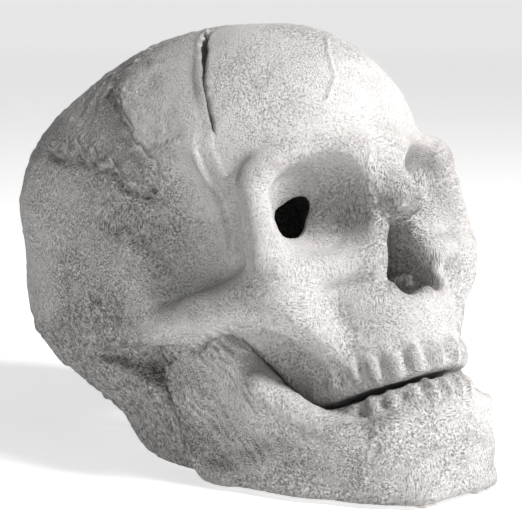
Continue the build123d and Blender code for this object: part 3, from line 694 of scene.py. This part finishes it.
# ---------------------------------------------------------------- materials
class Nodes:
    """A material's node tree, built a node at a time."""

    def __init__(self, name):
        self.material = bpy.data.materials.new(name)
        self.material.use_nodes = True
        self.tree = self.material.node_tree
        self.shader = self.tree.nodes["Principled BSDF"]

    def add(self, kind, values=None, **settings):
        node = self.tree.nodes.new(kind)
        for key, value in settings.items():
            setattr(node, key, value)
        for key, value in (values or {}).items():
            self.put(value, node.inputs[key])
        return node

    def put(self, value, socket):
        """A socket takes a plain value, or what another node gives."""
        if isinstance(value, bpy.types.NodeSocket):
            self.tree.links.new(value, socket)
        else:
            socket.default_value = value

    def sums(self, operation, a, b):
        return self.add("ShaderNodeMath", {0: a, 1: b}, operation=operation).outputs[0]

    def span(self, value, low, high, to_low=0.0, to_high=1.0):
        """Maps low..high to to_low..to_high, and no further."""
        values = {"Value": value, "From Min": low, "From Max": high, "To Min": to_low, "To Max": to_high}
        return self.add("ShaderNodeMapRange", values).outputs["Result"]

    def mix(self, share, a, b):
        node = self.add("ShaderNodeMix", data_type="RGBA")
        for index, value in ((0, share), (6, a), (7, b)):
            self.put(value, node.inputs[index])
        return node.outputs[2]

    def blend(self, share, a, b):
        """A number between a and b."""
        node = self.add("ShaderNodeMix", data_type="FLOAT")
        for index, value in ((0, share), (2, a), (3, b)):
            self.put(value, node.inputs[index])
        return node.outputs[0]

    def grain(self, millimetres, detail=2.0, turn=(0, 0, 0), stretch=(1, 1, 1), rough=0.5):
        """Noise with a grain of that size, stretched along axes that turn may tilt."""
        spot = self.add("ShaderNodeTexCoord").outputs["Object"]
        mapping = self.add("ShaderNodeMapping", {"Vector": spot, "Rotation": turn})
        mapping.inputs["Scale"].default_value = [1 / (millimetres * MM * s) for s in stretch]
        values = {"Vector": mapping.outputs[0], "Scale": 1.0, "Detail": detail, "Roughness": rough}
        return self.add("ShaderNodeTexNoise", values).outputs["Fac"]

    def attribute(self, name):
        return self.add("ShaderNodeAttribute", attribute_name=name).outputs["Fac"]

    def bump(self, height, millimetres):
        values = {"Height": height, "Distance": millimetres * MM, "Strength": 1.0}
        self.put(self.add("ShaderNodeBump", values).outputs[0], self.shader.inputs["Normal"])


def colour(red, green, blue):
    return (red, green, blue, 1.0)


def cast_ceramic():
    """Unglazed refractory casting: brushed, sandy, pitted, with painted shade in its hollows and painted
    highlights on its raised grains.
    """
    m = Nodes("cast_ceramic_rough")
    coarse = m.attribute("coarse")
    patch = m.span(m.grain(26, 1), 0.42, 0.58)
    one = m.grain(0.62, 3, (0.4, 0.3, 0.5), (1, 1, 3.2))
    other = m.grain(0.62, 3, (1.2, 0.2, -0.7), (3.2, 1, 1))
    lumps = m.grain(1.0, 4, (-0.5, 0.9, 0.2), rough=0.62)
    brushed = m.blend(patch, other, one)
    brushed = m.blend(m.span(m.grain(15, 2, (0, 0, 1)), 0.42, 0.54), brushed, lumps)
    sand = m.grain(0.5, 3, rough=0.7)
    pits = m.span(m.grain(2.0, 3, (0.5, 0.1, 0.9), rough=0.6), 0.38, 0.56)
    # the skin's height: strokes and sand all over, pits where it is coarse
    strokes = m.sums("MULTIPLY", m.span(brushed, 0.36, 0.56), m.span(coarse, 0.1, 0.8, 0.55, 1.5))
    grains = m.sums("MULTIPLY", m.span(sand, 0.3, 0.7), m.span(coarse, 0.1, 0.9, 0.4, 1.0))
    deep = m.sums("MULTIPLY", pits, m.span(coarse, 0.5, 1.0, 0.0, 1.6))
    height = m.sums("ADD", m.sums("ADD", strokes, grains), deep)
    m.bump(height, 0.5)
    # colour: a warm light grey, with painted shade where strokes, pits, low sand grains and hollows would
    # hold shade, and painted highlights on the raised grains and edges
    tone = m.mix(m.span(m.grain(34, 3), 0.35, 0.65), colour(0.53, 0.515, 0.51), colour(0.60, 0.59, 0.585))
    # painted shade in the dents of the brush strokes
    dents = m.span(brushed, 0.37, 0.48, 0.9, 0.0)
    dents = m.sums("MULTIPLY", dents, m.span(coarse, 0.1, 0.7, 0.45, 1.0))
    tone = m.mix(dents, tone, colour(0.18, 0.17, 0.165))
    # painted highlight: the raised grains of the brush strokes are made paler, most where the skin is coarse
    painted_ridge_highlight = m.span(brushed, 0.53, 0.62, 0.0, 0.8)
    painted_ridge_highlight = m.sums("MULTIPLY", painted_ridge_highlight, m.span(coarse, 0.1, 0.7, 0.1, 1.0))
    tone = m.mix(painted_ridge_highlight, tone, colour(0.86, 0.85, 0.84))
    # painted shade in the pits where the skin is coarse
    shade = m.sums("MULTIPLY", m.span(pits, 0.0, 0.8, 0.7, 0.0), m.span(coarse, 0.5, 1.0))
    tone = m.mix(shade, tone, colour(0.14, 0.13, 0.125))
    # painted shade in the low grains of the sand
    tone = m.mix(m.span(sand, 0.40, 0.28, 0.0, 0.5), tone, colour(0.2, 0.19, 0.185))
    # painted highlight: paler where the surface bulges above its neighbours, on raised edges and grains
    pale_edges = m.span(m.attribute("fine_hollow"), -0.02, -0.16, 0.0, 0.6)
    tone = m.mix(pale_edges, tone, colour(0.74, 0.725, 0.715))
    # painted shade: darker in the wide hollows of the casting
    hollow = m.span(m.attribute("wide_hollow"), 0.10, 0.85, 0.0, 0.6)
    tone = m.mix(hollow, tone, colour(0.17, 0.15, 0.145))
    speck = m.span(m.grain(1.0, 1, (0.3, 0.8, 0)), 0.73, 0.80, 0.0, 0.7)
    tone = m.mix(speck, tone, colour(0.08, 0.07, 0.065))
    m.put(tone, m.shader.inputs["Base Color"])
    m.put(m.span(sand, 0.3, 0.7, 0.82, 0.97), m.shader.inputs["Roughness"])
    m.shader.inputs["Specular IOR Level"].default_value = 0.25
    return m.material


def moulded(name, light, dark, roughness, grain=0.35, bump=0.03):
    """Moulded plastic or rubber: fine texture, faint clouds, paler worn edges."""
    m = Nodes(name)
    clouds = m.span(m.grain(9, 3), 0.35, 0.65)
    edge = m.span(m.add("ShaderNodeNewGeometry").outputs["Pointiness"], 0.52, 0.60, 0.0, 0.45)
    pale_edges = m.sums("MULTIPLY", edge, m.span(m.grain(2.2, 2), 0.4, 0.6))
    paler = colour(*[min(1, 1.6 * c + 0.06) for c in light])
    tone = m.mix(pale_edges, m.mix(clouds, colour(*dark), colour(*light)), paler)
    m.put(tone, m.shader.inputs["Base Color"])
    fine = m.grain(grain, 2)
    m.put(m.span(fine, 0.3, 0.7, roughness - 0.07, roughness + 0.07), m.shader.inputs["Roughness"])
    m.bump(fine, bump)
    return m.material


def steel(name):
    """Stainless steel with a turned finish."""
    m = Nodes(name)
    lines = m.grain(0.12, 1, stretch=(1, 1, 14))
    m.put(m.mix(lines, colour(0.50, 0.50, 0.51), colour(0.66, 0.66, 0.67)), m.shader.inputs["Base Color"])
    m.shader.inputs["Metallic"].default_value = 1.0
    m.put(m.span(lines, 0.3, 0.7, 0.22, 0.38), m.shader.inputs["Roughness"])
    m.bump(lines, 0.01)
    return m.material


def silicone(name):
    """Milky hose that lets some light through."""
    m = Nodes(name)
    tone = m.mix(m.grain(5, 2), colour(0.66, 0.73, 0.71), colour(0.80, 0.84, 0.83))
    m.put(tone, m.shader.inputs["Base Color"])
    m.shader.inputs["Transmission Weight"].default_value = 0.45
    m.shader.inputs["IOR"].default_value = 1.41
    m.put(m.span(m.grain(1.2, 2), 0.3, 0.7, 0.22, 0.34), m.shader.inputs["Roughness"])
    m.bump(m.grain(0.8, 1), 0.02)
    return m.material


def stone(name, light, dark, size, bump):
    """Grains of mineral: a flecked colour and an open, pitted surface."""
    m = Nodes(name)
    spot = m.add("ShaderNodeTexCoord").outputs["Object"]
    cells = m.add("ShaderNodeTexVoronoi", {"Vector": spot, "Scale": 1 / (size * MM)})
    fleck = m.add("ShaderNodeSeparateColor", {0: cells.outputs["Color"]}).outputs[0]
    tone = m.mix(fleck, colour(*dark), colour(*light))
    tone = m.mix(m.span(m.grain(6, 3), 0.4, 0.7, 0.0, 0.4), tone, colour(*[0.5 * c for c in dark]))
    m.put(tone, m.shader.inputs["Base Color"])
    m.put(m.span(fleck, 0, 1, 0.75, 0.95), m.shader.inputs["Roughness"])
    m.bump(cells.outputs["Distance"], bump)
    return m.material


# ---------------------------------------------------------------- the CAD nodes' finishes
FITTING = ("inlet_spigot", "inlet_nut", "check_valve_inlet", "check_valve_outlet", "valve_body", "valve_nut",
           "valve_stem", "riser_tube", "stone_cup", "stone_nipple")
HANDS = ("left", "right")
CORNERS = (1, 2, 3, 4)
FINISHES = (
    (moulded("tray_moulded", (0.105, 0.112, 0.12), (0.07, 0.075, 0.08), 0.55), ("base_tray", "tray_cover")),
    (moulded("fitting_moulded", (0.60, 0.62, 0.62), (0.50, 0.52, 0.53), 0.42, 0.25, 0.02), FITTING),
    (moulded("knob_moulded", (0.08, 0.24, 0.42), (0.05, 0.19, 0.36), 0.28, 0.5, 0.015), ("valve_knob",)),
    (moulded("seal_soft", (0.035, 0.035, 0.035), (0.02, 0.02, 0.02), 0.75, 0.3, 0.03),
     ("cover_seal", "inlet_washer", "stem_oring", "riser_grommet", "check_disc")),
    (moulded("pad_soft", (0.52, 0.51, 0.50), (0.44, 0.43, 0.42), 0.8, 0.5, 0.06),
     tuple(f"{kind}_pad_{hand}" for kind in ("neck", "chin") for hand in HANDS)
     + tuple(f"tray_foot_{n}" for n in CORNERS)),
    (steel("stainless"), tuple(f"cover_screw_{n}" for n in CORNERS) + tuple(f"jaw_dowel_{h}" for h in HANDS)),
    (silicone("hose_milky"), ("air_hose",)),
    (stone("slate_sawn", (0.22, 0.235, 0.25), (0.15, 0.16, 0.17), 0.8, 0.05), ("ballast_plate",)),
    (stone("grit_bonded", (0.40, 0.49, 0.58), (0.20, 0.27, 0.35), 0.9, 0.35), ("air_stone",)),
)
for material, names in FINISHES:
    for name in names:
        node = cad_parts[name]
        if not node.material_slots:
            node.data.materials.append(material)
        for slot in node.material_slots:
            slot.material = material

# ---------------------------------------------------------------- the castings
ceramic = cast_ceramic()
jaw_clay = lower_jaw_clay()
castings = (
    (mesh_of(cranium_clay(jaw_clay), "cranium_cast"), "cranium_shell"),
    (mesh_of(jaw_clay, "lower_jaw_cast"), "lower_jaw"),
)
for piece, node in castings:
    piece.data.materials.append(ceramic)
    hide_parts(node)
    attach(piece, "skull")


# ---------------------------------------------------------------- floor, light and camera
AZIMUTH, ELEVATION = -42, 9  # of the camera
MIDDLE = (CAD_LOW + CAD_HIGH) / 2
LENS, DISTANCE, AIM_BELOW = 135, 0.785, 0.011
FLOOR_GLOW, SKY_GLOW = 0.62, 0.05


def floor():
    """A pale round floor that curves up at its far edge."""
    level, curve, sides = 3.5, 1.5, 64
    run = [(0.5, 0.0), (level, 0.0)]
    run += [(level + curve * math.sin(t), curve * (1 - math.cos(t))) for t in np.linspace(0.15, 1.3, 9)]
    around = np.arange(sides) * 2 * math.pi / sides
    points = [(r * math.cos(t), r * math.sin(t), up) for r, up in run for t in around]
    faces = [list(range(sides))]
    for ring in range(len(run) - 1):
        for n in range(sides):
            a, b = ring * sides + n, ring * sides + (n + 1) % sides
            faces.append([a, b, b + sides, a + sides][::-1])
    mesh = bpy.data.meshes.new("studio_floor")
    mesh.from_pydata(points, [], faces)
    mesh.shade_smooth()
    m = Nodes("floor_paper")
    tone = m.mix(m.grain(400, 2), colour(0.86, 0.86, 0.86), colour(0.88, 0.88, 0.88))
    m.put(tone, m.shader.inputs["Base Color"])
    m.shader.inputs["Roughness"].default_value = 0.9
    m.shader.inputs["Emission Color"].default_value = colour(1, 1, 1)
    m.shader.inputs["Emission Strength"].default_value = FLOOR_GLOW
    mesh.materials.append(m.material)
    sheet = bpy.data.objects.new("studio_floor", mesh)
    bpy.context.scene.collection.objects.link(sheet)


def direction(azimuth, elevation):
    """From the object towards a place round it, by its angles from the front and the ground."""
    a, e = math.radians(azimuth), math.radians(elevation)
    return Vector((math.sin(a) * math.cos(e), -math.cos(a) * math.cos(e), math.sin(e)))


def lamp(name, azimuth, elevation, distance, size, watts, warm=0.0):
    """A soft square lamp that looks at the object; azimuth is to the camera's right."""
    away = direction(AZIMUTH + azimuth, elevation)
    light = bpy.data.lights.new(name, "AREA")
    light.energy, light.size = watts, size
    light.color = (1.0, 1.0 - 0.04 * warm, 1.0 - 0.08 * warm)
    lit = bpy.data.objects.new(name, light)
    lit.location = MIDDLE + away * distance
    lit.rotation_euler = away.to_track_quat("Z", "Y").to_euler()
    bpy.context.scene.collection.objects.link(lit)


floor()
lamp("key", azimuth=60, elevation=42, distance=1.1, size=0.26, watts=20, warm=0.2)
lamp("top", azimuth=30, elevation=75, distance=1.2, size=0.6, watts=1)
world = bpy.data.worlds.new("studio")
world.use_nodes = True
world.node_tree.nodes["Background"].inputs["Color"].default_value = colour(1, 1, 1)
world.node_tree.nodes["Background"].inputs["Strength"].default_value = SKY_GLOW
bpy.context.scene.world = world
bpy.context.scene.view_settings.view_transform = "Standard"

view = direction(AZIMUTH, ELEVATION)
lens = bpy.data.cameras.new("camera")
lens.lens = LENS
camera = bpy.data.objects.new("camera", lens)
camera.location = MIDDLE - Vector((0, 0, AIM_BELOW)) + view * DISTANCE
camera.rotation_euler = view.to_track_quat("Z", "Y").to_euler()
bpy.context.scene.collection.objects.link(camera)
bpy.context.scene.camera = camera
